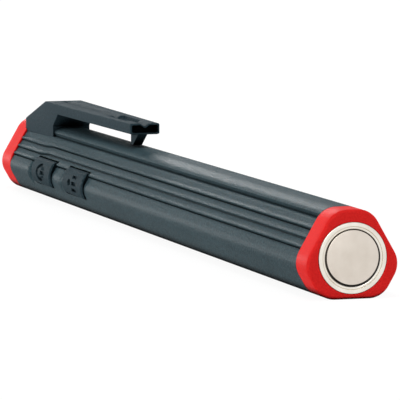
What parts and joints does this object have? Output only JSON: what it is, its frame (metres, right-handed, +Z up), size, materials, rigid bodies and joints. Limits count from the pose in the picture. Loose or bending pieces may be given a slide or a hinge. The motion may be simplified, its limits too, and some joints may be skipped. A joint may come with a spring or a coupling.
{
  "type": "magnetic pickup tool",
  "caption": "Pen-shaped magnetic pickup tool with a lamp: three-lobed ribbed tube, pot magnet in the front end cap, lens in the rear cap, pocket clip and push keys.",
  "frame": {"origin": "mid-length of the tool, on the long flat it rests on", "axes": "+X along the tool towards the magnet face, +Z up through the pocket clip, push keys on the -Y side"},
  "size_m": [0.18, 0.0149, 0.018],
  "materials": {
    "body_plastic": "dark slate grey moulded ABS, fine satin texture",
    "cap_plastic": "red moulded ABS, satin",
    "pot_steel": "turned steel, nickel plated",
    "magnet_nickel": "satin nickel plate",
    "resin": "black potting resin",
    "zinc_steel": "zinc plated",
    "spring_steel": "bright spring wire",
    "contact_brass": "stamped strip",
    "cell_jacket": "printed film jacket, plain",
    "board_laminate": "green solder resist",
    "switch_plastic": "black moulded",
    "plunger_plastic": "plain moulded",
    "carrier_plastic": "black moulded",
    "lens_clear": "clear moulded polycarbonate",
    "reflector_metallised": "metallised",
    "led_resin": "phosphor under clear resin",
    "seal_rubber": "nitrile"
  },
  "bodies": {
    "handle": {"body_tube": "body_plastic", "rear_cap": "cap_plastic", "lens_seal": "seal_rubber", "lens": "lens_clear", "reflector": "reflector_metallised", "lamp_led": "led_resin", "lamp_board": "board_laminate", "switch_board": "board_laminate", "driver_chip": "switch_plastic", "rear_switch": "switch_plastic", "front_switch": "switch_plastic", "contact_carrier": "carrier_plastic", "positive_contact": "contact_brass", "contact_strip": "contact_brass", "rear_cell": "cell_jacket", "front_cell": "cell_jacket", "clip_base": "body_plastic"},
    "magnet_end": {"front_cap": "cap_plastic", "front_seal": "seal_rubber", "magnet_pot": "pot_steel", "magnet_disc": "magnet_nickel", "magnet_resin": "resin", "stud_washer": "zinc_steel", "stud_nut": "zinc_steel", "spring_plate": "contact_brass", "contact_spring": "spring_steel"},
    "clip": {"clip_arm": "body_plastic"},
    "rear_button": {"rear_key": "body_plastic", "rear_plunger": "plunger_plastic"},
    "front_button": {"front_key": "body_plastic", "front_plunger": "plunger_plastic"}
  },
  "joints": [
    {"name": "front_cap_pull", "type": "slide", "parent": "handle", "child": "magnet_end", "axis": [1, 0, 0], "range_m": [0, 0.014]},
    {"name": "clip_flex", "type": "hinge", "parent": "handle", "child": "clip", "pos_m": [-0.06295, 0, 0.01796], "axis": [0, -1, 0], "range_deg": [0, 4], "stiffness_Nm_per_rad": 0.7},
    {"name": "rear_key_press", "type": "slide", "parent": "handle", "child": "rear_button", "axis": [0, 1, 0], "range_m": [0, 0.00035], "stiffness_N_per_m": 5000},
    {"name": "front_key_press", "type": "slide", "parent": "handle", "child": "front_button", "axis": [0, 1, 0], "range_m": [0, 0.00035], "stiffness_N_per_m": 5000}
  ]
}
